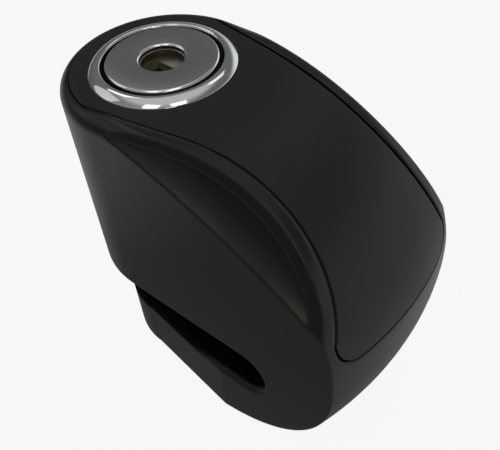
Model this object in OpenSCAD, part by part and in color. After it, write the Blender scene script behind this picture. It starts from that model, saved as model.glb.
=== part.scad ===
// Disc brake lock: a one-piece cast body with a slot for the brake disc, an inlaid front
// cover and a push-down lock cylinder that carries the locking pin.
// Millimetres. Z up along the pin, +X to the closed end of the slot, the base at z = 0.
// Stored state: plunger down, key turned to open, so the latch bolt is drawn back.

/* [Body] */
// height of the casting from base to top face
body_h = 60; // [58:0.5:66]
// width of the casting, also the width of its round rear end
body_w = 33; // [32:0.5:38]
// from the pin axis to the foremost point of the nose
nose_reach = 46.3; // [44:0.1:54]
// radius of the upper nose in side view
nose_r = 30; // [28:0.5:32]
// radius of the lower nose in side view
nose_low_r = 27.5; // [20:0.5:28]
// radius of the nose crown in plan
crown_r = 56; // [54:1:80]
// rounding of the top rim at the rear
top_round = 2.6; // [2:0.1:3.2]
// rounding of the base edge
base_round = 0.6; // [0.4:0.1:1.2]

/* [Disc slot] */
// thickness of the lower jaw
slot_floor = 13.1; // [11:0.1:14]
// clear height of the slot
slot_h = 8.8; // [7.5:0.1:9]
// from the pin axis to the closed end of the slot
slot_reach = 30.1; // [26:0.1:31]
// rounding of the slot lips
lip_r = 1.1; // [0.5:0.1:1.5]
// radius of the jaw's rear end
jaw_r = 13.6; // [11:0.1:15]
// distance from the pin axis at which the jaw reaches full width
jaw_taper_x = 20; // [17:0.5:24]

/* [Side flutes] */
// where the lower edge of the flute would meet the top face
flute_x0 = -3.2; // [-4:0.1:-2]
// fall of the flute's lower edge, degrees
flute_slope = 23.8; // [22.5:0.1:25]
// length of the flute's lower edge
flute_len = 48.6; // [46:0.1:52]
// how far the lower edge bows upward at its middle
flute_bow = 2.6; // [2:0.1:3]
// lean of the flute out of the upright, degrees
flute_tilt = 31; // [28:0.1:33]
// width of the rim left along the cover
rim_w = 1.5; // [1.2:0.1:2]
// depth of the scoop below the straight flute
scoop_d = 1.3; // [0.6:0.1:1.5]
// radius of the scoop
scoop_r = 10; // [9:0.5:16]

/* [Cover] */
// radius of the cover's rear edge round the pin axis
cover_r = 14.8; // [14.2:0.1:15.2]
// height of the cover's lower edge
cover_z = 33; // [31:0.5:38]
// half width of the cover at its lower edge
cover_half_w = 15.1; // [14:0.1:15.2]
// rounding of the cover's lower corners
cover_corner = 4.4; // [2:0.1:6]
// wall of the cover
cover_t = 2.2; // [1.6:0.1:2.6]
// seam between cover and rim
seam_gap = 0.4; // [0.25:0.05:0.6]
// seam round the cover's rear edge
rear_gap = 0.2; // [0.1:0.05:0.4]

/* [Plunger and pin] */
// diameter of the locking pin
pin_d = 6; // [5:0.1:6.4]
// how far the pin stands in the jaw when down
pin_engage = 4.5; // [3.5:0.1:4.8]
// diameter of the plunger barrel
barrel_d = 17.7; // [17.5:0.05:17.75]
// diameter of the face cap
cap_d = 17.9; // [17.7:0.05:18]
// how far the face stands above the top of the casting
face_proud = 1.1; // [0.6:0.1:1.4]
// diameter of the keyhole
keyhole_d = 7.2; // [6:0.1:7.6]
// outer diameter of the bezel
bezel_d = 23.6; // [23.4:0.1:25]
// height of the bezel above the top face
bezel_h = 0.8; // [0.6:0.1:1.4]

/* [Lock core] */
// throw of the latch bolt
latch_throw = 2; // [1.2:0.1:2.1]
// diameter of the latch bolt
latch_d = 4.4; // [4:0.1:4.5]
// thickness of a detainer disc
disc_t = 1.4; // [1.2:0.05:1.6]
// thickness of a spacer
spacer_t = 0.35; // [0.25:0.05:0.5]
// thickness of the hardened guard disc
guard_t = 1.4; // [1:0.1:1.8]
// half width of the key's flat side
key_flat = 1.3; // [0.8:0.1:1.6]

/* [Fits] */
// running clearance of the plunger in its bore, all round
run_gap = 0.15; // [0.1:0.01:0.2]
// clearance of parts that stay put
seat_gap = 0.05; // [0.03:0.01:0.08]

/* [Hidden] */
$fn = 128;
eps = 0.01;

half_w = body_w / 2;
flute_r = (flute_len * flute_len / 4 + flute_bow * flute_bow) / (2 * flute_bow);
crown_off = crown_r - nose_reach;
axis_x = (half_w - nose_reach) / 2;

slot_roof = slot_floor + slot_h;
slot_r = slot_h / 2;
slot_cx = slot_reach - slot_r;
slot_mid = slot_floor + slot_r;

cover_gap = 0.1;
// the lower nose ends where the upper one begins
low_r = min(nose_low_r, body_h - nose_r - 1);

pin_r = pin_d / 2;
pin_tip = slot_floor - pin_engage;
pin_chamfer = 0.8;
lift_spare = 0.7;
travel = slot_roof - pin_tip + lift_spare;

// plunger bore, from its floor upward
bore_wall = 3.6;
bore_floor = slot_roof + bore_wall;
bore_r = barrel_d / 2 + run_gap;
washer_t = 0.8;
barrel_r = barrel_d / 2;
barrel_lift = 1.6;
barrel_z0 = bore_floor + barrel_lift;

// lock core, from the face downward
face_z = body_h + face_proud;
cap_t = 1.2;
cap_skirt = 3.8;
cap_wall = 0.55;
cap_bevel = 0.25;
spigot_r = cap_d / 2 - cap_wall - seat_gap;
barrel_top = face_z - cap_t - seat_gap;
shoulder_z = face_z - cap_skirt;
plug_bore_r = 6.6;
plug_gap = 0.1;
plug_r = plug_bore_r - plug_gap;
plug_top = barrel_top - 0.15;
cavity_r = 5.6;
stack_gap = 0.02;
disc_count = 6;
disc_r = cavity_r - 0.15;
spacer_r = 4.5;
pitch = disc_t + spacer_t + 2 * stack_gap;
key_sink = 0.9;
stack_top = plug_top - plug_gap - key_sink - guard_t;
stack_z0 = stack_top - disc_count * pitch - spacer_t - 2 * stack_gap;
plug_base = 1.5;
plug_z0 = stack_z0 - plug_base;
plug_floor = plug_z0 - 2 * plug_gap;
key_play = 0.3;
key_r = keyhole_d / 2 - key_play;
bar_w = 2;
bar_tip = 4.75;

// latch under the core, then the socket of the pin and the room of the return spring
latch_r = latch_d / 2;
latch_bore_r = latch_r + 0.1;
latch_tail = 4.8;
tail_room = 5.3;
latch_z = plug_floor - tail_room;
latch_wall = 0.4;
socket_top = latch_z - latch_bore_r - latch_wall;
spring_top = socket_top - 2 * latch_wall;
spring_in = 4.6;
spring_out = 7.6;
spring_wire = 1.1;
spring_pitch = 2;
dowel_r = 1;
dowel_z = barrel_z0 + 2.2;
stud_play = 0.2;
stud_e = latch_throw - stud_play;
stud_r = 1;
stud_z0 = latch_z + 0.5;
tail_z0 = latch_z + latch_r + 0.3;

stop_r = 1.5;
stop_y = -4.6;
stop_z = barrel_z0 + 2.2 + travel + stop_r + run_gap;
stop_x0 = 6.35;

skirt_r = 11;
skirt_h = 3.2;
skirt_z = body_h - skirt_h;
bezel_gap = 0.65;
bezel_in = cap_d / 2 + bezel_gap;
bezel_crest = 0.6;
seal_h = 1.2;
seal_z = body_h - 2.35;

pocket_x = skirt_r + 2.5;
pocket_z = bore_floor + 10.5;
pocket_half = 7.4;
screw_x = 20;
screw_y = 4.6;
screw_r = 1.5;
screw_grip = 10;
screw_head_r = 2.75;
screw_head_h = 2.4;
screw_sink = 3;
boss_r = 2.5;

// Solid of the nose: the side profile turned about an upright axis behind the pin,
// so that the nose is crowned in plan. Every face is moved inward by i.
module nose_solid(i = 0)
{
    translate([-crown_off, 0, 0])
        rotate_extrude()
            union()
            {
                translate([0, low_r])
                    square([crown_r - i, body_h - nose_r - low_r]);
                translate([0, body_h - nose_r - eps])
                    square([crown_r - nose_r, nose_r - i + eps]);
                intersection()
                {
                    translate([crown_r - nose_r, body_h - nose_r])
                        circle(nose_r - i);
                    translate([0, body_h - nose_r - eps])
                        square([2 * crown_r, body_h]);
                }
                translate([0, i])
                    square([crown_r - low_r, low_r - i + eps]);
                intersection()
                {
                    translate([crown_r - low_r, low_r])
                        circle(low_r - i);
                    translate([0, -eps])
                        square([2 * crown_r, low_r + 2 * eps]);
                }
            }
}

// Body with upright sides, a round rear end and a rounded top rim, moved inward by i.
module plan_solid(i = 0)
{
    h = body_h - i;
    w = half_w - i;
    r = top_round - i;
    rotate_extrude()
        union()
        {
            square([w - r, h]);
            square([w, h - r]);
            translate([w - r, h - r])
                circle(r);
        }
    rotate([90, 0, 90])
        linear_extrude(2 * crown_r)
            union()
            {
                translate([-w + r, 0])
                    square([2 * (w - r), h]);
                translate([-w, 0])
                    square([2 * w, h - r]);
                for (s = [-1, 1])
                    translate([s * (w - r), h - r])
                        circle(r);
            }
}

module outer_solid(i = 0)
{
    intersection()
    {
        plan_solid(i);
        nose_solid(i);
    }
}

// Frame of the near flute, which is turned about a far axis across the body:
// z along that axis into the body, radius flute_r at the flute's lower edge.
module flute_frame()
{
    translate([flute_x0, -half_w, body_h])
        rotate([0, flute_slope, 0])
            translate([flute_len / 2, 0, flute_bow - flute_r])
                rotate([-90, 0, 0])
                    children();
}

module both_sides()
{
    children();
    mirror([0, 1, 0])
        children();
}

module flute_cut()
{
    t = tan(flute_tilt);
    along = sqrt(2 * scoop_r * scoop_d - scoop_d * scoop_d) - 0.25;
    out = scoop_r - scoop_d;
    deep = half_w - 2;
    flute_frame()
        rotate_extrude()
            polygon([[flute_r - 1 / t, -1], [flute_r + deep / t, deep], [flute_r + 40, deep],
                [flute_r + 40, -1]]);
    intersection()
    {
        flute_frame()
            rotate_extrude()
                translate([flute_r + along * cos(flute_tilt) + out * sin(flute_tilt),
                    along * sin(flute_tilt) - out * cos(flute_tilt)])
                    circle(scoop_r);
        nose_solid(rim_w);
    }
}

// Everything inside the near flute, its slope moved inward by i.
module inside_flute(i)
{
    c = cos(flute_tilt);
    s = sin(flute_tilt);
    flute_frame()
        rotate_extrude()
            polygon([[0, -4], [flute_r - (4 * c + i) / s, -4],
                [flute_r + (2 * body_w * c - i) / s, 2 * body_w], [0, 2 * body_w]]);
}

// Everything inside the edge of the cover; i moves the edge inward, at the rear by j.
module cover_reach(i, j)
{
    intersection()
    {
        inside_flute(rim_w + i);
        mirror([0, 1, 0])
            inside_flute(rim_w + i);
        union()
        {
            translate([0, 0, cover_z - 20])
                cylinder(r = cover_r - j, h = body_h);
            translate([0, -cover_r + j, cover_z - 20])
                cube([nose_reach / 2, 2 * (cover_r - j), body_h]);
            translate([nose_reach / 2 - 1, -half_w, cover_z - 20])
                cube([2 * crown_r, body_w, body_h]);
        }
        translate([-crown_r, 0, 0])
            rotate([90, 0, 90])
                linear_extrude(3 * crown_r)
                    cover_window(i);
    }
}

// Front view of the cover's lower end.
module cover_window(i)
{
    w = cover_half_w - i;
    c = cover_corner - i;
    z = cover_z + i;
    translate([-w, z + c])
        square([2 * w, 2 * body_h]);
    translate([-w + c, z])
        square([2 * (w - c), 2 * body_h]);
    for (s = [-1, 1])
        translate([s * (w - c), z + c])
            circle(c);
}

// Plan of the lower jaw: round rear end, sides that widen to the full width.
module jaw_plan()
{
    circle(jaw_r);
    polygon([[0, jaw_r], [jaw_taper_x, half_w], [2 * crown_r, half_w], [2 * crown_r, -half_w],
        [jaw_taper_x, -half_w], [0, -jaw_r]]);
}

module slot_cut()
{
    translate([0, body_w, 0])
        rotate([90, 0, 0])
            linear_extrude(2 * body_w)
                union()
                {
                    translate([-2 * body_w, slot_floor])
                        square([2 * body_w + slot_cx, slot_h]);
                    translate([slot_cx, slot_mid])
                        circle(slot_r);
                }
    translate([0, 0, -1])
        linear_extrude(slot_mid + 1)
            difference()
            {
                translate([-2 * body_w, -body_w])
                    square([2 * body_w + jaw_taper_x, 2 * body_w]);
                jaw_plan();
            }
}

// Section that rounds an edge at the origin of a solid lying to the left and above.
module round_section(r)
{
    difference()
    {
        translate([-r, -0.5])
            square([r + 0.5, r + 0.5]);
        translate([-r, r])
            circle(r);
    }
}

// Rounds a straight edge that runs from p along the heading a, solid on the left.
// It runs a little over at both ends, so that no fin is left where it meets the next edge.
module round_line(p, a, len, r)
{
    over = 0.6;
    translate([p[0], p[1], 0])
        rotate([0, 0, a])
            rotate([90, 0, 90])
                translate([0, 0, -over])
                    linear_extrude(len + 2 * over)
                        mirror([1, 0])
                            round_section(r);
}

// Rounds the rear half of a circular edge.
module round_rear(edge_r, r)
{
    rotate([0, 0, 90])
        rotate_extrude(angle = 180)
            translate([edge_r, 0])
                round_section(r);
}

// Rounds the edge of the jaw's plan, from the rear to the given distance.
module round_jaw(r, reach)
{
    run = [jaw_taper_x, jaw_r - half_w];
    round_rear(jaw_r, r);
    both_sides()
    {
        round_line([0, -jaw_r], atan2(run[1], run[0]), norm(run), r);
        round_line([jaw_taper_x, -half_w], 0, reach - jaw_taper_x, r);
    }
}

module edge_rounds()
{
    translate([0, 0, slot_roof])
    {
        round_rear(half_w, lip_r);
        both_sides()
            round_line([0, -half_w], 0, slot_cx, lip_r);
    }
    translate([0, 0, slot_floor])
        mirror([0, 0, 1])
            round_jaw(lip_r, slot_cx);
    both_sides()
        translate([slot_cx, -half_w, slot_mid])
            rotate([90, 0, 0])
                rotate([0, 0, -90])
                    rotate_extrude(angle = 180)
                        translate([slot_r, 0])
                            rotate(180)
                                round_section(lip_r);
    round_jaw(base_round, jaw_taper_x + 6);
}

module body_casting()
{
    color("#26282a")
        difference()
        {
            outer_solid();
            both_sides()
                flute_cut();
            slot_cut();
            edge_rounds();
            // recess of the cover
            difference()
            {
                cover_reach(0, 0);
                nose_solid(cover_t + cover_gap);
            }
            // hollow behind the cover
            intersection()
            {
                translate([pocket_x, -pocket_half, pocket_z])
                    cube([nose_reach, 2 * pocket_half, body_h]);
                nose_solid(cover_t);
            }
            // bore of the plunger, seat of the bezel and guide of the pin, then the pin hole
            // of the jaw with its drain; turned so that no seam lies on another one
            rotate([0, 0, 37])
            {
                translate([0, 0, bore_floor])
                    cylinder(r = bore_r, h = body_h);
                translate([0, 0, skirt_z - 0.1])
                    cylinder(r = skirt_r + seat_gap, h = body_h);
                translate([0, 0, slot_mid])
                    cylinder(r = pin_r + run_gap, h = body_h / 2);
                translate([0, 0, pin_tip - 1.2])
                    cylinder(r = pin_r + 0.3, h = slot_mid - pin_tip);
                translate([0, 0, -1])
                    cylinder(r = 1.5, h = slot_floor);
            }
            // windows of the latch bolt, plunger down and plunger up
            for (z = [latch_z, latch_z + travel])
                translate([barrel_r / 2, 0, z])
                    rotate([0, 90, 0])
                        cylinder(r = latch_r + 0.25, h = pocket_x + 1 - barrel_r / 2);
            // hole of the stop pin
            translate([barrel_r / 2, stop_y, stop_z])
                rotate([0, 90, 0])
                    cylinder(r = stop_r + seat_gap, h = pocket_x + 1 - barrel_r / 2);
            // holes of the cover screws
            for (s = [-1, 1])
                translate([screw_x, s * screw_y, 0])
                {
                    translate([0, 0, slot_mid])
                        cylinder(r = screw_r + 0.2, h = pocket_z);
                    translate([0, 0, slot_mid])
                        cylinder(r = screw_head_r + 0.3, h = slot_r + screw_sink);
                }
        }
}

module front_cover()
{
    color("#2b2c2e")
        difference()
        {
            union()
            {
                intersection()
                {
                    cover_reach(seam_gap, rear_gap);
                    difference()
                    {
                        outer_solid();
                        nose_solid(cover_t);
                    }
                }
                intersection()
                {
                    for (s = [-1, 1])
                        translate([screw_x, s * screw_y, pocket_z + 0.3])
                            cylinder(r = boss_r, h = body_h);
                    nose_solid(cover_t / 2);
                }
            }
            translate([0, 0, body_h / 2])
                rotate([0, 0, 37])
                    cylinder(r = skirt_r + 0.2, h = body_h);
            for (s = [-1, 1])
                translate([screw_x, s * screw_y, pocket_z - 1])
                    cylinder(r = screw_r + seat_gap, h = screw_grip + 3);
        }
}

module cover_screws()
{
    z = slot_roof + screw_sink - screw_head_h;
    color("#8d9094")
        for (s = [-1, 1])
            translate([screw_x, s * screw_y, z])
                difference()
                {
                    union()
                    {
                        cylinder(r = screw_head_r, h = screw_head_h - seat_gap);
                        cylinder(r = screw_r, h = pocket_z + screw_grip - z);
                    }
                    translate([0, 0, -1])
                        cylinder(r = 1.3, h = 2.3, $fn = 6);
                }
}

module bezel_ring()
{
    o = bezel_d / 2;
    c = bezel_in + bezel_crest;
    rise = ((o - c) * (o - c) - bezel_h * bezel_h) / (2 * bezel_h);
    r = bezel_h + rise;
    color("#c9cdd0")
        rotate_extrude()
            difference()
            {
                union()
                {
                    translate([bezel_in, skirt_z])
                        square([skirt_r - bezel_in, body_h - skirt_z + 0.1]);
                    translate([0, body_h])
                        intersection()
                        {
                            translate([c, -rise])
                                circle(r);
                            translate([bezel_in, 0])
                                square([o, 2 * bezel_h]);
                        }
                }
                translate([bezel_in - 0.5, seal_z - seat_gap])
                    square([1.3, seal_h + 2 * seat_gap]);
            }
}

module dust_seal()
{
    color("#121314")
        translate([0, 0, seal_z])
            difference()
            {
                cylinder(r = bezel_in + 0.8 - seat_gap, h = seal_h);
                translate([0, 0, -1])
                    cylinder(r = cap_d / 2 + run_gap, h = 4);
            }
}

module plunger_barrel()
{
    color("#9a9da0")
        difference()
        {
            union()
            {
                translate([0, 0, barrel_z0])
                    cylinder(r = barrel_r, h = shoulder_z - seat_gap - barrel_z0);
                translate([0, 0, barrel_z0 + 1])
                    cylinder(r = spigot_r, h = barrel_top - barrel_z0 - 1);
            }
            // bore of the plug, room for its tail
            translate([0, 0, plug_floor])
                cylinder(r = plug_bore_r, h = body_h);
            translate([0, 0, latch_z])
                cylinder(r = stud_e + stud_r + 1.2, h = body_h);
            // bore of the latch bolt
            translate([-barrel_r + 1.25, 0, latch_z])
                rotate([0, 90, 0])
                    cylinder(r = latch_bore_r, h = 2 * barrel_r);
            // socket of the pin and its dowel
            translate([0, 0, barrel_z0 - 1])
                cylinder(r = pin_r + seat_gap, h = socket_top - barrel_z0 + 1);
            translate([0, body_w, dowel_z])
                rotate([90, 0, 0])
                    cylinder(r = dowel_r + seat_gap, h = 2 * body_w);
            // room for the return spring
            translate([0, 0, barrel_z0 - 1])
                difference()
                {
                    cylinder(r = spring_out, h = spring_top - barrel_z0 + 1);
                    translate([0, 0, -1])
                        cylinder(r = spring_in, h = spring_top);
                }
            // groove of the stop pin
            translate([stop_x0 - run_gap, stop_y, 0])
            {
                w = stop_r + run_gap;
                translate([0, -w, stop_z - travel])
                    cube([barrel_r, 2 * w, travel]);
                for (z = [stop_z - travel, stop_z])
                    translate([0, 0, z])
                        rotate([0, 90, 0])
                            cylinder(r = w, h = barrel_r);
            }
            // groove that takes the sidebar when the key is turned back
            translate([0, -plug_r + 0.3, stack_z0 + 0.4])
                cylinder(r = bar_w / 2 + 0.3, h = stack_top - stack_z0);
        }
}

module face_cap()
{
    r = cap_d / 2;
    k = keyhole_d / 2;
    b = cap_bevel;
    color("#7f8284")
        translate([0, 0, face_z])
            rotate_extrude()
                polygon([[k, -cap_t], [k, -b], [k + b, 0], [r - b, 0], [r, -b], [r, -cap_skirt],
                    [r - cap_wall, -cap_skirt], [r - cap_wall, -cap_t]]);
}

// Keyway with its flat turned to the angle a.
module keyway(a)
{
    rotate(a)
        intersection()
        {
            circle(key_r);
            translate([-2 * key_r, -4 * key_r + key_flat])
                square(4 * key_r);
        }
}

module key_plug()
{
    color("#a89a6a")
        difference()
        {
            union()
            {
                translate([0, 0, plug_z0])
                    cylinder(r = plug_r, h = plug_top - plug_z0);
                translate([0, 0, tail_z0])
                    cylinder(r = stud_e + stud_r + 1.1, h = plug_z0 - tail_z0 + 0.5);
                translate([-stud_e, 0, stud_z0])
                    cylinder(r = stud_r, h = plug_z0 - stud_z0);
            }
            translate([0, 0, stack_z0 - stack_gap])
                cylinder(r = cavity_r, h = body_h);
            translate([-2 * plug_r, -bar_w / 2 - seat_gap, stack_z0 + plug_base / 2 - 0.15])
                cube([2 * plug_r, bar_w + 2 * seat_gap, stack_top - stack_z0 - plug_base / 2 - 0.25]);
        }
}

module guard_disc()
{
    color("#b9b3a2")
        translate([0, 0, stack_top])
            linear_extrude(guard_t)
                difference()
                {
                    circle(disc_r);
                    keyway(0);
                }
}

module detainer_disc(i)
{
    color("#b59f5f")
        translate([0, 0, stack_z0 + spacer_t + 2 * stack_gap + (i - 1) * pitch])
            linear_extrude(disc_t)
                difference()
                {
                    circle(disc_r);
                    keyway((i * 37) % 5 * 14);
                    translate([-2 * disc_r, -bar_w / 2 - 0.15])
                        square([2 * disc_r - bar_tip + 0.15, bar_w + 0.3]);
                }
}

module disc_spacers()
{
    color("#8f9295")
        for (i = [0 : disc_count])
            translate([0, 0, stack_z0 + stack_gap + i * pitch])
                difference()
                {
                    cylinder(r = spacer_r, h = spacer_t);
                    translate([0, 0, -1])
                        cylinder(r = key_r + key_play, h = 4);
                }
}

module sidebar()
{
    color("#85888b")
        translate([-plug_r + plug_gap, -bar_w / 2, stack_z0 + plug_base / 2])
            cube([plug_r - plug_gap - bar_tip, bar_w, stack_top - stack_z0 - plug_base / 2 - 0.55]);
}

module latch_bolt()
{
    tip = barrel_r - 0.25;
    tail = -latch_tail;
    color("#6f7275")
        difference()
        {
            translate([0, 0, latch_z])
                rotate([0, 90, 0])
                    translate([0, 0, tail])
                        cylinder(r = latch_r, h = tip - tail);
            translate([-3.4, -latch_d, latch_z + 0.3])
                cube([4.6, 2 * latch_d, latch_d]);
            // sloped lower side of the tip, so that it slides in when pushed down
            translate([tip, 0, latch_z - latch_r])
                rotate([0, 45, 0])
                    cube([2.4, 2 * latch_d, 2.4], center = true);
        }
}

// Helix of round wire about z from z0 to z1, as one closed tube.
module coil(mean_r, wire_r, z0, z1, turns)
{
    rings = ceil(turns * 24);
    sides = 10;
    lift = (z1 - z0) / rings;
    slope = atan2(z1 - z0, turns * 2 * PI * mean_r);
    pts = [for (i = [0 : rings])
        let (t = i / rings * turns * 360, z = z0 + i * lift)
            for (k = [0 : sides - 1])
                let (b = k * 360 / sides,
                    n = wire_r * cos(b),
                    u = wire_r * sin(b))
                    [(mean_r + n) * cos(t) + u * sin(slope) * sin(t),
                     (mean_r + n) * sin(t) - u * sin(slope) * cos(t),
                     z + u * cos(slope)]];
    walls = [for (i = [0 : rings - 1])
        for (k = [0 : sides - 1])
            [i * sides + k, i * sides + (k + 1) % sides,
             (i + 1) * sides + (k + 1) % sides, (i + 1) * sides + k]];
    first = [for (k = [0 : sides - 1]) sides - 1 - k];
    last = [for (k = [0 : sides - 1]) rings * sides + k];
    polyhedron(points = pts, faces = concat(walls, [first, last]));
}

module latch_spring()
{
    color("#a4a7aa")
        translate([0, 0, latch_z])
            rotate([0, 90, 0])
                coil(1.5, 0.22, -barrel_r + 1.25 + 0.24, -latch_tail - 0.24, 2.5);
}

module locking_pin()
{
    color("#b4b7ba")
        difference()
        {
            translate([0, 0, pin_tip])
                rotate_extrude()
                    polygon([[0, 0], [pin_r - pin_chamfer, 0], [pin_r, pin_chamfer],
                        [pin_r, socket_top - pin_tip - 0.1], [0, socket_top - pin_tip - 0.1]]);
            translate([0, body_w, dowel_z])
                rotate([90, 0, 0])
                    cylinder(r = dowel_r + seat_gap, h = 2 * body_w);
        }
}

module pin_dowel()
{
    color("#97999c")
        translate([0, spring_in - 0.1, dowel_z])
            rotate([90, 0, 0])
                cylinder(r = dowel_r, h = 2 * spring_in - 0.2);
}

module return_spring()
{
    wire_r = spring_wire / 2;
    z0 = bore_floor + washer_t + wire_r + 0.03;
    z1 = spring_top - wire_r - 0.03;
    turns = max(1.5, floor((z1 - z0) / spring_pitch));
    color("#a4a7aa")
        coil((spring_in + spring_out) / 2, wire_r, z0, z1, turns);
}

module spring_washer()
{
    color("#8d9094")
        translate([0, 0, bore_floor])
            difference()
            {
                cylinder(r = spring_out, h = washer_t);
                translate([0, 0, -1])
                    cylinder(r = pin_r + 0.4, h = 4);
            }
}

module stop_pin()
{
    color("#97999c")
        translate([stop_x0, stop_y, stop_z])
            rotate([0, 90, 0])
                cylinder(r = stop_r, h = pocket_x + 0.4 - stop_x0);
}

module placed()
{
    translate([axis_x, 0, 0])
        children();
}

placed() body_casting();
placed() front_cover();
placed() cover_screws();
placed() bezel_ring();
placed() dust_seal();
placed() plunger_barrel();
placed() face_cap();
placed() key_plug();
placed() guard_disc();
placed() detainer_disc(1);  // detainer_disc_1
placed() detainer_disc(2);  // detainer_disc_2
placed() detainer_disc(3);  // detainer_disc_3
placed() detainer_disc(4);  // detainer_disc_4
placed() detainer_disc(5);  // detainer_disc_5
placed() detainer_disc(6);  // detainer_disc_6
placed() disc_spacers();
placed() sidebar();
placed() latch_bolt();
placed() latch_spring();
placed() locking_pin();
placed() pin_dowel();
placed() return_spring();
placed() spring_washer();
placed() stop_pin();
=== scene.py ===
"""Looks of a push-down disc brake lock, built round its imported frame.

The bezel and the face of the plunger are turned afresh. Every other piece keeps its solid and
is dressed in its finish, and the paint, the plastic and the rubber also draw the last small
round of their edges. Sizes are in millimetres and are turned to metres where a mesh is made.
"""

from __future__ import annotations

import logging
import math
from abc import ABC, abstractmethod
from dataclasses import dataclass
from enum import Enum

import bpy
from mathutils import Matrix, Vector

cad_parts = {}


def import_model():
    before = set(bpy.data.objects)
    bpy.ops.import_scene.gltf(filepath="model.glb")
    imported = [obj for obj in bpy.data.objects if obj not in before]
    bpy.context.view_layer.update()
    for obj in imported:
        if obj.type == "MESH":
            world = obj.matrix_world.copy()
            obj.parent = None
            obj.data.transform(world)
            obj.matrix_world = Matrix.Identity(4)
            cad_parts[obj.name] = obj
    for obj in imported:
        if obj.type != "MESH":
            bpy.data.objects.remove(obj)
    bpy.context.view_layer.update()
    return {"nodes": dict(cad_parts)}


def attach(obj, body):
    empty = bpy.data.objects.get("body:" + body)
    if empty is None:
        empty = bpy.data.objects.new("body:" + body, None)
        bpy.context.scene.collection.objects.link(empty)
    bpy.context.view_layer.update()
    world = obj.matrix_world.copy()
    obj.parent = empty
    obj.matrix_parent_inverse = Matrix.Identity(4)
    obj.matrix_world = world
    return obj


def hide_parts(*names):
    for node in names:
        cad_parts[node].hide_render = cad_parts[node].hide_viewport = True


LOG = logging.getLogger("disc_lock")
MM = 0.001
# Points that lie closer than this become one.
WELD_MM = 0.002
# Phase that a wave texture of scale 1 runs through in one metre.
WAVE_RADIANS = 20.0
# Upright line that the pin, the plunger and the bezel turn about.
PIN_AXIS_X = -14.9

Triple = tuple[float, float, float]
Pair = tuple[float, float]


class Body(Enum):
    """Bodies of the frame that a new piece rides on."""

    CASTING = "lock_body"
    PLUNGER = "plunger"


class Slot(Enum):
    """Material slots of the record."""

    PAINT = "black_paint"
    PLASTIC = "cover_plastic"
    CHROME = "chrome"
    FACE = "face_steel"
    STEEL = "core_steel"
    BRASS = "core_brass"
    RUBBER = "seal_rubber"


def linear(hex_colour: str) -> tuple[float, float, float, float]:
    """Turns an sRGB hex value to linear light.

    Args:
        hex_colour: Six hex digits, with or without a leading hash.

    Returns:
        Red, green, blue and a full alpha.
    """
    digits = hex_colour.lstrip("#")
    parts = [int(digits[i:i + 2], 16) / 255 for i in (0, 2, 4)]
    light = [c / 12.92 if c <= 0.04045 else ((c + 0.055) / 1.055) ** 2.4 for c in parts]
    return (light[0], light[1], light[2], 1.0)


def per_metre(size_mm: float) -> float:
    """Gives the texture scale at which one feature is size_mm wide."""
    return 1.0 / (size_mm * MM)


def add_node(
    tree: bpy.types.NodeTree,
    kind: str,
    settings: dict[str | int, object] | None = None,
    links: dict[str | int, bpy.types.NodeSocket] | None = None,
) -> bpy.types.Node:
    """Adds one node with its settings and links.

    Args:
        tree: Tree that takes the node.
        kind: Type name of the node.
        settings: Values by property or, where there is no such property, by input.
        links: Sockets of other nodes, by the name or number of the input they feed.

    Returns:
        The new node.
    """
    node = tree.nodes.new(kind)
    for key, value in (settings or {}).items():
        if isinstance(key, str) and hasattr(node, key):
            setattr(node, key, value)
        else:
            node.inputs[key].default_value = value
    for key, socket in (links or {}).items():
        tree.links.new(socket, node.inputs[key])
    return node


@dataclass(frozen=True, kw_only=True)
class Finish(ABC):
    """Surface of one material, as it was made."""

    name: str
    slot: Slot
    colour: str
    shade: str
    roughness: float
    spread: float
    patch_mm: float = 3.0

    def material(self) -> bpy.types.Material:
        """Makes the material once.

        Returns:
            The material of this finish.
        """
        made = bpy.data.materials.get(self.name)
        if made:
            return made
        made = bpy.data.materials.new(self.name)
        made.use_nodes = True
        tree = made.node_tree
        shader = tree.nodes["Principled BSDF"]
        shader.inputs["Base Color"].default_value = linear(self.colour)
        shader.inputs["Roughness"].default_value = self.roughness
        coords = tree.nodes.new("ShaderNodeTexCoord").outputs["Object"]
        self.grain(tree, shader, coords)
        return made

    def clouded(
        self,
        tree: bpy.types.NodeTree,
        coords: bpy.types.NodeSocket,
        detail: float,
    ) -> tuple[bpy.types.NodeSocket, bpy.types.NodeSocket]:
        """Varies the colour and the gloss in soft patches.

        Args:
            tree: Tree of the material.
            coords: Object coordinates, in metres.
            detail: Number of finer layers in the patches.

        Returns:
            Colour and roughness.
        """
        patch = add_node(tree, "ShaderNodeTexNoise",
                         {"Scale": per_metre(self.patch_mm), "Detail": detail},
                         {"Vector": coords})
        tint = add_node(tree, "ShaderNodeMix",
                        {"data_type": "RGBA", "A": linear(self.colour), "B": linear(self.shade)},
                        {"Factor": patch.outputs["Fac"]})
        gloss = add_node(tree, "ShaderNodeMapRange",
                         {"To Min": self.roughness - self.spread,
                          "To Max": self.roughness + self.spread},
                         {"Value": patch.outputs["Fac"]})
        return tint.outputs["Result"], gloss.outputs["Result"]

    @abstractmethod
    def grain(
        self,
        tree: bpy.types.NodeTree,
        shader: bpy.types.Node,
        coords: bpy.types.NodeSocket,
    ) -> None:
        """Adds the pattern of the surface to its shader.

        Args:
            tree: Tree of the material.
            shader: Its principled shader.
            coords: Object coordinates, in metres.
        """


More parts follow.
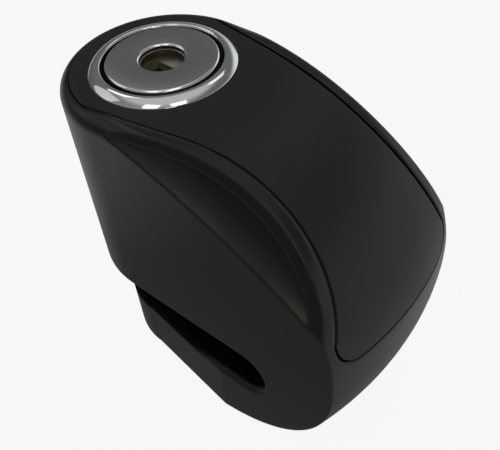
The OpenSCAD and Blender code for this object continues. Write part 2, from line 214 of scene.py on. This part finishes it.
@dataclass(frozen=True, kw_only=True)
class BlackSkin(Finish):
    """Black paint, plastic or rubber: a soft sheen over a faint peel or grain."""

    specular: float
    peel_mm: float
    peel_depth_mm: float
    edge_mm: float
    edge_samples: int = 8
    painted_shade_box: tuple[Triple, Triple] | None = None
    painted_shade_fade_mm: float = 1.0
    painted_shade_colour: str = "#020202"
    dull_roughness: float = 0.8
    dull_specular: float = 0.08

    def painted_recess_shade(
        self,
        tree: bpy.types.NodeTree,
        coords: bpy.types.NodeSocket,
    ) -> bpy.types.NodeSocket:
        """Marks the recess of the slot, where shade is painted into the colour.

        Args:
            tree: Tree of the material.
            coords: Object coordinates, in metres.

        Returns:
            One inside the recess, and nought on the outer skin.
        """
        low, high = (Vector(corner) * MM for corner in self.painted_shade_box)
        away = add_node(tree, "ShaderNodeVectorMath",
                        {"operation": "SUBTRACT", 1: (low + high) / 2}, {0: coords})
        size = add_node(tree, "ShaderNodeVectorMath", {"operation": "ABSOLUTE"},
                        {0: away.outputs["Vector"]})
        axes = add_node(tree, "ShaderNodeSeparateXYZ", None, {0: size.outputs["Vector"]})
        near = [
            add_node(tree, "ShaderNodeMapRange",
                     {"interpolation_type": "SMOOTHSTEP", "To Min": 1.0, "To Max": 0.0,
                      "From Min": reach - self.painted_shade_fade_mm * MM, "From Max": reach},
                     {"Value": axes.outputs[axis]}).outputs["Result"]
            for axis, reach in zip("XYZ", (high - low) / 2)
        ]
        level = add_node(tree, "ShaderNodeMath", {"operation": "MULTIPLY"},
                         {0: near[0], 1: near[1]})
        inside = add_node(tree, "ShaderNodeMath", {"operation": "MULTIPLY"},
                          {0: level.outputs["Value"], 1: near[2]})
        return inside.outputs["Value"]

    def grain(
        self,
        tree: bpy.types.NodeTree,
        shader: bpy.types.Node,
        coords: bpy.types.NodeSocket,
    ) -> None:
        """Adds the peel, the clouded gloss and the small round of the edges.

        Args:
            tree: Tree of the material.
            shader: Its principled shader.
            coords: Object coordinates, in metres.
        """
        shader.inputs["Specular IOR Level"].default_value = self.specular
        colour, rough = self.clouded(tree, coords, detail=3.0)
        # Painted shade: inside the slot's box the colour goes near black and the sheen drops.
        if self.painted_shade_box:
            inside = self.painted_recess_shade(tree, coords)
            colour = add_node(tree, "ShaderNodeMix",
                              {"data_type": "RGBA", "B": linear(self.painted_shade_colour)},
                              {"Factor": inside, "A": colour}).outputs["Result"]
            rough = add_node(tree, "ShaderNodeMapRange", {"To Max": self.dull_roughness},
                             {"Value": inside, "To Min": rough}).outputs["Result"]
            sheen = add_node(tree, "ShaderNodeMapRange",
                             {"To Min": self.specular, "To Max": self.dull_specular},
                             {"Value": inside})
            tree.links.new(sheen.outputs["Result"], shader.inputs["Specular IOR Level"])
        tree.links.new(colour, shader.inputs["Base Color"])
        tree.links.new(rough, shader.inputs["Roughness"])
        peel = add_node(tree, "ShaderNodeTexNoise",
                        {"Scale": per_metre(self.peel_mm), "Detail": 2.0},
                        {"Vector": coords})
        edge = add_node(tree, "ShaderNodeBevel",
                        {"samples": self.edge_samples, "Radius": self.edge_mm * MM})
        bump = add_node(tree, "ShaderNodeBump",
                        {"Distance": self.peel_depth_mm * MM, "Strength": 1.0},
                        {"Height": peel.outputs["Fac"], "Normal": edge.outputs["Normal"]})
        tree.links.new(bump.outputs["Normal"], shader.inputs["Normal"])


@dataclass(frozen=True, kw_only=True)
class TurnedMetal(Finish):
    """Turned or ground metal: faint ripples round the pin axis, and patches of gloss.

    The marks of the tool and of keys are too fine to show, so they are drawn broader.
    """

    ring_mm: float
    ring_depth_mm: float
    scratch_mm: float = 0.0
    scratch_long: float = 30.0
    scratch_turn: float = 0.5
    scratch_share: Pair = (0.66, 0.74)

    def scratched(
        self,
        tree: bpy.types.NodeTree,
        coords: bpy.types.NodeSocket,
    ) -> bpy.types.NodeSocket:
        """Draws the long scratches that keys leave.

        Args:
            tree: Tree of the material.
            coords: Object coordinates, in metres.

        Returns:
            One in a scratch and nought beside it.
        """
        laid = add_node(tree, "ShaderNodeMapping",
                        {"Rotation": (0.0, 0.0, self.scratch_turn),
                         "Scale": (1.0 / self.scratch_long, 1.0, 1.0)},
                        {"Vector": coords})
        lines = add_node(tree, "ShaderNodeTexNoise",
                         {"Scale": per_metre(self.scratch_mm), "Detail": 1.0},
                         {"Vector": laid.outputs["Vector"]})
        cut = add_node(tree, "ShaderNodeMapRange",
                       {"From Min": self.scratch_share[0], "From Max": self.scratch_share[1]},
                       {"Value": lines.outputs["Fac"]})
        return cut.outputs["Result"]

    def grain(
        self,
        tree: bpy.types.NodeTree,
        shader: bpy.types.Node,
        coords: bpy.types.NodeSocket,
    ) -> None:
        """Adds the ripples of the tool and the patches of gloss.

        Args:
            tree: Tree of the material.
            shader: Its principled shader.
            coords: Object coordinates, in metres.
        """
        shader.inputs["Metallic"].default_value = 1.0
        centred = add_node(tree, "ShaderNodeMapping",
                           {"Location": (-PIN_AXIS_X * MM, 0.0, 0.0)},
                           {"Vector": coords})
        rings = add_node(tree, "ShaderNodeTexWave",
                         {"wave_type": "RINGS", "rings_direction": "Z",
                          "Scale": math.tau * per_metre(self.ring_mm) / WAVE_RADIANS,
                          "Distortion": 1.5, "Detail": 2.0, "Detail Scale": 3.0},
                         {"Vector": centred.outputs["Vector"]})
        colour, rough = self.clouded(tree, coords, detail=4.0)
        tree.links.new(colour, shader.inputs["Base Color"])
        tree.links.new(rough, shader.inputs["Roughness"])
        relief = rings.outputs["Fac"]
        if self.scratch_mm:
            relief = add_node(tree, "ShaderNodeMath", {"operation": "SUBTRACT"},
                              {0: relief, 1: self.scratched(tree, coords)}).outputs["Value"]
        bump = add_node(tree, "ShaderNodeBump",
                        {"Distance": self.ring_depth_mm * MM, "Strength": 1.0},
                        {"Height": relief})
        tree.links.new(bump.outputs["Normal"], shader.inputs["Normal"])


# Stoved satin paint is near black head on and takes a soft grey sheen at its flanks. In the slot
# it is painted near black with little sheen, as painted shade where hardly any light comes back.
BODY_PAINT = BlackSkin(
    name="satin_black_stoving_paint", slot=Slot.PAINT, colour="#121314", shade="#181919",
    roughness=0.34, spread=0.05, patch_mm=9.0, specular=0.35, peel_mm=0.9, peel_depth_mm=0.012,
    edge_mm=0.8, painted_shade_box=((-60.0, -16.2, 10.8), (16.4, 16.2, 22.4)),
)
# Moulded nylon is a shade greyer than the paint, with a fine even grain and a broad sheen.
COVER_PLASTIC = BlackSkin(
    name="moulded_black_polyamide", slot=Slot.PLASTIC, colour="#131312", shade="#1a1918",
    roughness=0.49, spread=0.04, patch_mm=7.0, specular=0.38, peel_mm=0.35, peel_depth_mm=0.008,
    edge_mm=0.25,
)
# Rubber swallows the light in its groove and reads as one black ring.
SEAL_RUBBER = BlackSkin(
    name="moulded_nitrile_rubber", slot=Slot.RUBBER, colour="#0d0d0d", shade="#141414",
    roughness=0.75, spread=0.05, specular=0.3, peel_mm=0.4, peel_depth_mm=0.01, edge_mm=0.15,
)
# Chrome mirrors the room in hard whites and blacks, a little cold.
CHROME_PLATE = TurnedMetal(
    name="polished_chrome_plate", slot=Slot.CHROME, colour="#dfe2e3", shade="#cfd3d5",
    roughness=0.08, spread=0.03, ring_mm=3.77, ring_depth_mm=0.0004,
)
# The face is satin from fine turning, an even mid grey with faint marks of keys.
FACE_STEEL = TurnedMetal(
    name="satin_stainless_steel", slot=Slot.FACE, colour="#b4b5b3", shade="#a3a5a3",
    roughness=0.32, spread=0.06, ring_mm=0.942, ring_depth_mm=0.002, scratch_mm=0.25,
)
# The bevels are polished, and their colour is also painted brighter than the face as a painted
# highlight, so they show as thin white lines.
EDGE_STEEL = TurnedMetal(
    name="stainless_edge_painted_highlight", slot=Slot.FACE, colour="#f0f1ef", shade="#e2e4e2",
    roughness=0.18, spread=0.03, ring_mm=0.942, ring_depth_mm=0.0004,
)
# The wall of the keyhole is painted brown and dark, as painted shade in the hole.
BORE_STEEL = TurnedMetal(
    name="steel_bore_painted_shade", slot=Slot.FACE, colour="#55534a", shade="#434139",
    roughness=0.42, spread=0.06, ring_mm=1.257, ring_depth_mm=0.002,
)
# Hardened steel comes pale and dull from blasting, with a touch of straw.
GUARD_STEEL = TurnedMetal(
    name="blasted_hardened_steel", slot=Slot.STEEL, colour="#d2d1c6", shade="#bdbcae",
    roughness=0.5, spread=0.06, ring_mm=1.885, ring_depth_mm=0.002,
)
# Ground steel is a clear cool grey with short soft highlights.
GROUND_STEEL = TurnedMetal(
    name="ground_hardened_steel", slot=Slot.STEEL, colour="#c6c7c4", shade="#aeb0ae",
    roughness=0.34, spread=0.06, ring_mm=2.513, ring_depth_mm=0.002,
)
# Pressed brass is a muted yellow, dulled by grease.
DISC_BRASS = TurnedMetal(
    name="pressed_brass", slot=Slot.BRASS, colour="#b39a62", shade="#9c8450",
    roughness=0.33, spread=0.06, ring_mm=1.885, ring_depth_mm=0.002,
)


def pick(obj: bpy.types.Object) -> None:
    """Selects one object alone and makes it the active one.

    Args:
        obj: Object to select.
    """
    bpy.ops.object.select_all(action="DESELECT")
    obj.select_set(True)
    bpy.context.view_layer.objects.active = obj


def apply_modifier(obj: bpy.types.Object, kind: str, **settings: object) -> None:
    """Adds one modifier with its settings and applies it.

    Args:
        obj: Object that is changed.
        kind: Type name of the modifier.
        **settings: Its properties.
    """
    pick(obj)
    modifier = obj.modifiers.new(kind.lower(), kind)
    for name, value in settings.items():
        setattr(modifier, name, value)
    bpy.ops.object.modifier_apply(modifier=modifier.name)


def turned(name: str, outline: list[Pair], steps: int) -> bpy.types.Object:
    """Turns a closed outline about the pin axis.

    Args:
        name: Name of the piece.
        outline: Radius and height of each corner, in millimetres.
        steps: Number of flats round the piece.

    Returns:
        The piece, with its place in its mesh.
    """
    bpy.ops.object.select_all(action="DESELECT")
    bpy.ops.mesh.primitive_plane_add(size=MM)
    piece = bpy.context.object
    piece.name = piece.data.name = name
    bpy.ops.object.mode_set(mode="EDIT")
    bpy.ops.mesh.select_all(action="SELECT")
    bpy.ops.mesh.merge(type="CENTER")
    corners = [Vector(((PIN_AXIS_X + r) * MM, 0.0, z * MM)) for r, z in outline]
    bpy.ops.transform.translate(value=corners[0])
    for here, there in zip(corners, corners[1:] + corners[:1]):
        bpy.ops.mesh.extrude_vertices_move(TRANSFORM_OT_translate={"value": there - here})
    bpy.ops.mesh.select_all(action="SELECT")
    bpy.ops.mesh.remove_doubles(threshold=WELD_MM * MM)
    bpy.ops.mesh.spin(steps=steps, angle=math.tau, center=(PIN_AXIS_X * MM, 0.0, 0.0),
                      axis=(0.0, 0.0, 1.0))
    bpy.ops.mesh.select_all(action="SELECT")
    bpy.ops.mesh.remove_doubles(threshold=WELD_MM * MM)
    bpy.ops.mesh.normals_make_consistent(inside=False)
    bpy.ops.object.mode_set(mode="OBJECT")
    return piece


def dress(obj: bpy.types.Object, finish: Finish) -> None:
    """Gives an object one finish all over.

    Args:
        obj: Object to dress.
        finish: Its surface.
    """
    obj.data.materials.clear()
    obj.data.materials.append(finish.material())
    LOG.info("%s: dressed in %s", obj.name, finish.name)


def seat(piece: bpy.types.Object, body: Body, finish: Finish, *nodes: str) -> None:
    """Dresses a new piece, sets it on its body and lets it stand for its nodes.

    Args:
        piece: New piece, in place.
        body: Body that carries it.
        finish: Its surface.
        *nodes: Nodes that it replaces.
    """
    dress(piece, finish)
    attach(piece, body.value)
    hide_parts(*nodes)
    LOG.info("%s: %d faces, on %s", piece.name, len(piece.data.polygons), body.value)


@dataclass
class CastShell:
    """Casting with its disc slot, the cover let into its front and the seal in its bore."""

    nodes: dict[str, bpy.types.Object]

    def build(self) -> None:
        """Dresses the casting, the cover and the seal, whose solids have the real forms."""
        for name, finish in (("body_casting", BODY_PAINT), ("front_cover", COVER_PLASTIC),
                             ("dust_seal", SEAL_RUBBER)):
            dress(self.nodes[name], finish)


@dataclass
class PlungerHead:
    """Bezel in the top of the casting and the face of the plunger inside it."""

    top_z: float = 60.0
    bezel_outer_r: float = 11.8
    bezel_inner_r: float = 9.6
    bezel_skirt_r: float = 11.0
    bezel_skirt_z: float = 56.8
    bezel_h: float = 1.0
    bezel_bead: float = 0.45
    bezel_lip: float = 0.14
    bezel_arc_steps: int = 12
    face_z: float = 61.1
    cap_r: float = 8.95
    cap_t: float = 1.2
    cap_skirt: float = 3.8
    cap_wall: float = 0.55
    cap_bevel: float = 0.25
    keyhole_r: float = 3.6
    ledge_depth: float = 0.85
    ledge_w: float = 0.2
    edge_mm: float = 0.06
    edge_segments: int = 2
    sharp_deg: float = 25.0
    smooth_deg: float = 40.0
    # Upward part of a facet's normal, over a wall's and under the flat face's.
    bevel_rise: Pair = (0.2, 0.97)
    steps: int = 160

    def bezel_outline(self) -> list[Pair]:
        """Works out the section of the bezel: a round crest, then a slope that steepens.

        Returns:
            Radius and height of its corners.
        """
        bead, lip, n = self.bezel_bead, self.bezel_lip, self.bezel_arc_steps
        crest_r, crest_z = self.bezel_inner_r + bead, self.top_z + self.bezel_h - bead
        outline = [(self.bezel_inner_r, self.bezel_skirt_z)]
        for i in range(n + 1):
            a = math.pi - math.pi / 2 * i / n
            outline.append((crest_r + bead * math.cos(a), crest_z + bead * math.sin(a)))
        (r0, z0), (r1, z1) = outline[-1], (self.bezel_outer_r - lip, self.top_z + lip)
        for i in range(1, n + 1):
            t = i / n
            outline.append((r0 + (r1 - r0) * t, z0 + (z1 - z0) * t * t))
        outline += [(self.bezel_outer_r, self.top_z), (self.bezel_skirt_r, self.top_z),
                    (self.bezel_skirt_r, self.bezel_skirt_z)]
        return outline

    def cap_outline(self) -> list[Pair]:
        """Works out the section of the face cap, with the ledge inside its keyhole.

        Returns:
            Radius and height of its corners.
        """
        k, r, b, z = self.keyhole_r, self.cap_r, self.cap_bevel, self.face_z
        low, ledge = k - self.ledge_w, z - self.ledge_depth
        return [(low, z - self.cap_t), (low, ledge), (k, ledge), (k, z - b), (k + b, z),
                (r - b, z), (r, z - b), (r, z - self.cap_skirt),
                (r - self.cap_wall, z - self.cap_skirt), (r - self.cap_wall, z - self.cap_t)]

    def finish_edges(self, piece: bpy.types.Object) -> None:
        """Breaks the sharp edges of a turned piece and smooths the rest.

        Args:
            piece: Bezel or face cap.
        """
        apply_modifier(piece, "BEVEL", width=self.edge_mm * MM, segments=self.edge_segments,
                       limit_method="ANGLE", angle_limit=math.radians(self.sharp_deg))
        pick(piece)
        bpy.ops.object.shade_smooth_by_angle(angle=math.radians(self.smooth_deg))

    def paint_edge_highlight_and_bore_shade(self, cap: bpy.types.Object) -> None:
        """Gives the bevels of the face their polish and a painted highlight, and the keyhole's
        wall a painted shade.

        Args:
            cap: Face cap, dressed in its satin steel.
        """
        slots = cap.data.materials
        for finish in (EDGE_STEEL, BORE_STEEL):
            slots.append(finish.material())
        edge, bore = slots.find(EDGE_STEEL.name), slots.find(BORE_STEEL.name)
        axis = Vector((PIN_AXIS_X * MM, 0.0))
        steep, flat = self.bevel_rise
        # Wall facets in the keyhole take the painted shade, bevel facets the painted highlight.
        for facet in cap.data.polygons:
            in_keyhole = (facet.center.xy - axis).length < self.keyhole_r * MM
            if in_keyhole and facet.normal.z < steep:
                facet.material_index = bore
            elif not in_keyhole and steep < facet.normal.z < flat:
                facet.material_index = edge

    def build(self) -> None:
        """Builds and dresses the bezel and the face cap."""
        bezel = turned("bezel", self.bezel_outline(), self.steps)
        self.finish_edges(bezel)
        seat(bezel, Body.CASTING, CHROME_PLATE, "bezel_ring")
        cap = turned("face", self.cap_outline(), self.steps)
        self.finish_edges(cap)
        seat(cap, Body.PLUNGER, FACE_STEEL, "face_cap")
        self.paint_edge_highlight_and_bore_shade(cap)


@dataclass
class LockWorks:
    """Pieces of the mechanism, which keep their solids and get the finish of their metal."""

    nodes: dict[str, bpy.types.Object]
    guard: tuple[str, ...] = ("guard_disc",)
    steel: tuple[str, ...] = ("cover_screws", "plunger_barrel", "disc_spacers", "sidebar",
                              "latch_bolt", "latch_spring", "locking_pin", "pin_dowel",
                              "return_spring", "spring_washer", "stop_pin")
    brass: tuple[str, ...] = ("key_plug", *(f"detainer_disc_{i}" for i in range(1, 7)))

    def build(self) -> None:
        """Dresses each piece."""
        for names, finish in ((self.guard, GUARD_STEEL), (self.steel, GROUND_STEEL),
                              (self.brass, DISC_BRASS)):
            for name in names:
                dress(self.nodes[name], finish)


@dataclass(frozen=True)
class Softbox:
    """One square lamp that faces the lock."""

    name: str
    place_mm: Triple
    side_mm: float
    watts: float
    colour: str = "#ffffff"


SOFTBOXES = (
    Softbox("left_softbox", (-294.0, 53.0, 406.0), 110.0, 0.055),
    Softbox("right_softbox", (-5.0, 285.0, 410.0), 130.0, 0.05),
    Softbox("left_card", (-330.0, -176.0, 270.0), 240.0, 0.1),
    Softbox("front_card_left", (50.0, -246.0, 390.0), 125.0, 0.062),
    Softbox("front_card_right", (222.0, -107.0, 390.0), 125.0, 0.068),
    Softbox("warm_card", (210.0, -190.0, 200.0), 80.0, 0.06, "#ffe2c2"),
)


@dataclass
class Studio:
    """Pale floor, a dim room with bright walls and a bright zenith, lamps and the camera.

    Levels of light count white as one. Directions, and the spans on them, are parts of a unit
    vector.
    """

    eye_mm: Triple = (57.40, -60.89, 120.24)
    look: Triple = (-0.4726, 0.5041, -0.7228)
    right: Triple = (0.7725, 0.6317, -0.0646)
    lens_mm: float = 50.4
    sensor_mm: float = 36.0
    near_mm: float = 5.0
    floor_mm: float = 4000.0
    floor_seen: float = 0.9
    paper_colour: str = "#f3f3f3"
    paper_level: float = 0.57
    shadow_mm: Triple = (-5.0, -25.0, 0.0)
    shadow_reach_mm: Pair = (25.0, 85.0)
    shadow_level: float = 0.17
    front_floor_mm: Pair = (-140.0, -55.0)
    front_floor: float = 0.15
    ambient: float = 0.4
    wall: float = 0.95
    dark_wall: float = 0.13
    bright_way: Triple = (0.6, 0.8, 0.0)
    bright_span: Pair = (0.0, 0.8)
    wall_top: float = 0.18
    wall_fade: float = 0.3
    ceiling: float = 0.165
    front_ceiling: float = 0.32
    front_side: Pair = (-0.9, -0.3)
    zenith: float = 0.6
    zenith_span: Pair = (0.7, 0.92)
    aim_mm: Triple = (0.0, 0.0, 30.0)

    def rays(
        self,
        tree: bpy.types.NodeTree,
    ) -> tuple[bpy.types.NodeSocket, bpy.types.NodeSocket]:
        """Adds the switches for what the eye sees and for what a shiny surface sees.

        Args:
            tree: Tree of the floor or the world.

        Returns:
            One for camera rays, and one for glossy and transmission rays.
        """
        path = tree.nodes.new("ShaderNodeLightPath").outputs
        mirrored = add_node(tree, "ShaderNodeMath", {"operation": "MAXIMUM"},
                            {0: path["Is Glossy Ray"], 1: path["Is Transmission Ray"]})
        return path["Is Camera Ray"], mirrored.outputs["Value"]

    def build_floor(self) -> None:
        """Lays the floor, white to the eye, pale in a reflection, with a faint shadow."""
        bpy.ops.object.select_all(action="DESELECT")
        bpy.ops.mesh.primitive_plane_add(size=self.floor_mm * MM)
        floor = bpy.context.object
        floor.name = "floor"
        # Matt paper is white to the eye and holds a faint shadow. Its mirror image in the lock
        # is a glow with a painted shadow: darkest close by, round a set point, and painted dark
        # in front, where no lamp reaches.
        paper = bpy.data.materials.new("white_paper_sweep")
        paper.use_nodes = True
        tree = paper.node_tree
        tree.nodes.clear()
        seen, mirrored = self.rays(tree)
        matt = add_node(tree, "ShaderNodeBsdfDiffuse", {"Color": linear(self.paper_colour)})
        place = tree.nodes.new("ShaderNodeNewGeometry").outputs["Position"]
        reach = add_node(tree, "ShaderNodeVectorMath",
                         {"operation": "DISTANCE", 1: Vector(self.shadow_mm) * MM}, {0: place})
        along = add_node(tree, "ShaderNodeSeparateXYZ", None, {0: place})
        front = add_node(tree, "ShaderNodeMapRange",
                         {"interpolation_type": "SMOOTHSTEP",
                          "From Min": self.front_floor_mm[0] * MM,
                          "From Max": self.front_floor_mm[1] * MM,
                          "To Min": self.front_floor, "To Max": self.paper_level},
                         {"Value": along.outputs["Y"]})
        fade = add_node(tree, "ShaderNodeMapRange",
                        {"interpolation_type": "SMOOTHSTEP",
                         "From Min": self.shadow_reach_mm[0] * MM,
                         "From Max": self.shadow_reach_mm[1] * MM,
                         "To Min": self.shadow_level},
                        {"Value": reach.outputs["Value"], "To Max": front.outputs["Result"]})
        level = add_node(tree, "ShaderNodeMath", {"operation": "MULTIPLY_ADD"},
                         {0: mirrored, 1: fade.outputs["Result"], 2: seen})
        glow = add_node(tree, "ShaderNodeEmission", None, {"Strength": level.outputs["Value"]})
        share = add_node(tree, "ShaderNodeMath",
                         {"operation": "MULTIPLY_ADD", 1: self.floor_seen},
                         {0: seen, 2: mirrored})
        mix = add_node(tree, "ShaderNodeMixShader", None,
                       {0: share.outputs["Value"], 1: matt.outputs["BSDF"],
                        2: glow.outputs["Emission"]})
        add_node(tree, "ShaderNodeOutputMaterial", None, {"Surface": mix.outputs["Shader"]})
        floor.data.materials.append(paper)

    def build_world(self) -> None:
        """Sets walls that glow on the right, a dim ceiling and a bright zenith."""
        world = bpy.data.worlds.new("studio")
        bpy.context.scene.world = world
        world.use_nodes = True
        tree = world.node_tree
        tree.nodes.clear()
        seen, mirrored = self.rays(tree)
        way = tree.nodes.new("ShaderNodeTexCoord").outputs["Generated"]
        axes = add_node(tree, "ShaderNodeSeparateXYZ", None, {0: way})
        facing = add_node(tree, "ShaderNodeVectorMath",
                          {"operation": "DOT_PRODUCT", 1: self.bright_way}, {0: way})
        walls = add_node(tree, "ShaderNodeMapRange",
                         {"interpolation_type": "SMOOTHSTEP",
                          "From Min": self.bright_span[0], "From Max": self.bright_span[1],
                          "To Min": self.dark_wall, "To Max": self.wall},
                         {"Value": facing.outputs["Value"]})
        ceiling = add_node(tree, "ShaderNodeMapRange",
                           {"interpolation_type": "SMOOTHSTEP",
                            "From Min": self.front_side[0], "From Max": self.front_side[1],
                            "To Min": self.front_ceiling, "To Max": self.ceiling},
                           {"Value": axes.outputs["Y"]})
        above = add_node(tree, "ShaderNodeMapRange",
                         {"interpolation_type": "SMOOTHSTEP", "To Max": self.zenith,
                          "From Min": self.zenith_span[0], "From Max": self.zenith_span[1]},
                         {"Value": axes.outputs["Z"], "To Min": ceiling.outputs["Result"]})
        shade = add_node(tree, "ShaderNodeMapRange",
                         {"interpolation_type": "SMOOTHSTEP", "From Min": self.wall_top,
                          "From Max": self.wall_top + self.wall_fade},
                         {"Value": axes.outputs["Z"], "To Min": walls.outputs["Result"],
                          "To Max": above.outputs["Result"]})
        room = add_node(tree, "ShaderNodeBackground", None, {"Color": shade.outputs["Result"]})
        white = add_node(tree, "ShaderNodeBackground", {"Color": linear("#ffffff")})
        lit = add_node(tree, "ShaderNodeBackground", {"Strength": self.ambient})
        unseen = add_node(tree, "ShaderNodeMixShader", None,
                          {0: mirrored, 1: lit.outputs["Background"],
                           2: room.outputs["Background"]})
        sky = add_node(tree, "ShaderNodeMixShader", None,
                       {0: seen, 1: unseen.outputs["Shader"], 2: white.outputs["Background"]})
        add_node(tree, "ShaderNodeOutputWorld", None, {"Surface": sky.outputs["Shader"]})

    def hang(self, box: Softbox) -> None:
        """Hangs one lamp and turns it to the lock.

        Args:
            box: Lamp to hang.
        """
        lamp = bpy.data.lights.new(box.name, "AREA")
        lamp.size = box.side_mm * MM
        lamp.energy = box.watts
        lamp.color = linear(box.colour)[:3]
        obj = bpy.data.objects.new(box.name, lamp)
        bpy.context.scene.collection.objects.link(obj)
        here = Vector(box.place_mm) * MM
        aim = Vector(self.aim_mm) * MM - here
        obj.location = here
        obj.rotation_euler = aim.to_track_quat("-Z", "Y").to_euler()

    def build_camera(self) -> None:
        """Sets the camera where the photograph was taken from."""
        camera = bpy.data.cameras.new("camera")
        camera.sensor_width = self.sensor_mm
        camera.lens = self.lens_mm
        camera.clip_start = self.near_mm * MM
        obj = bpy.data.objects.new("camera", camera)
        bpy.context.scene.collection.objects.link(obj)
        back = -Vector(self.look).normalized()
        right = Vector(self.right)
        right = (right - back * right.dot(back)).normalized()
        up = back.cross(right)
        turn = Matrix((right, up, back)).transposed()
        obj.matrix_world = Matrix.Translation(Vector(self.eye_mm) * MM) @ turn.to_4x4()
        bpy.context.scene.camera = obj

    def build(self) -> None:
        """Builds the studio."""
        bpy.context.scene.view_settings.view_transform = "Standard"
        self.build_floor()
        self.build_world()
        for box in SOFTBOXES:
            self.hang(box)
        self.build_camera()


def main() -> None:
    """Builds the pieces and the studio."""
    logging.basicConfig(level=logging.INFO, format="%(name)s %(message)s")
    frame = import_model()
    nodes = frame["nodes"]
    CastShell(nodes=nodes).build()
    PlungerHead().build()
    LockWorks(nodes=nodes).build()
    Studio().build()


if __name__ == "__main__":
    main()
